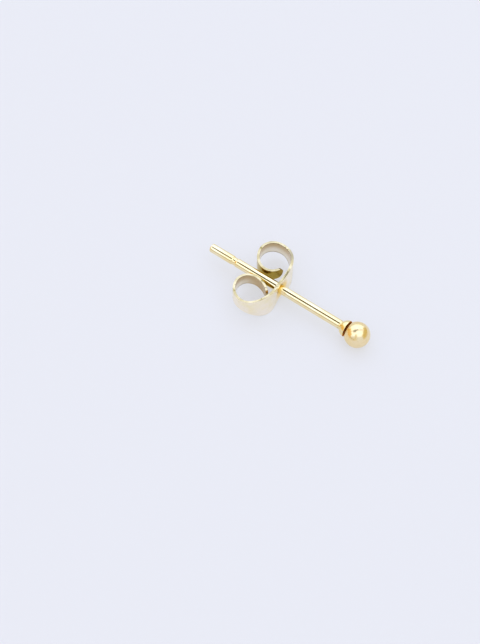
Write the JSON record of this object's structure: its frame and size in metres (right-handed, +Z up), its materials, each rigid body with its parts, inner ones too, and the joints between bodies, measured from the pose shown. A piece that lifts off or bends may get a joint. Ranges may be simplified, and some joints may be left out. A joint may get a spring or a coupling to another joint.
{
  "type": "ball stud earring",
  "caption": "Gold ball stud earring: a polished ball and flared cup on a straight grooved post, with a push-on back curled into scroll wings.",
  "frame": {"origin": "on the surface it lies on, under the middle of the earring", "axes": "+X along the post towards the ball, +Z up from the surface, +Y across the two wings of the back"},
  "size_m": [0.0146, 0.0064, 0.0024],
  "materials": {
    "yellow_gold": "yellow gold, polished, with fine hairlines",
    "pale_gold": "pale yellow gold sheet, satin from pressing, brighter on its edges"
  },
  "bodies": {
    "stud": {"stud": "yellow_gold"},
    "back": {"butterfly_back": "pale_gold"}
  },
  "joints": [
    {"name": "back_slide", "type": "slide", "parent": "stud", "child": "back", "axis": [0.9997, 0, -0.0255], "range_m": [-0.007, 0.0054]}
  ]
}
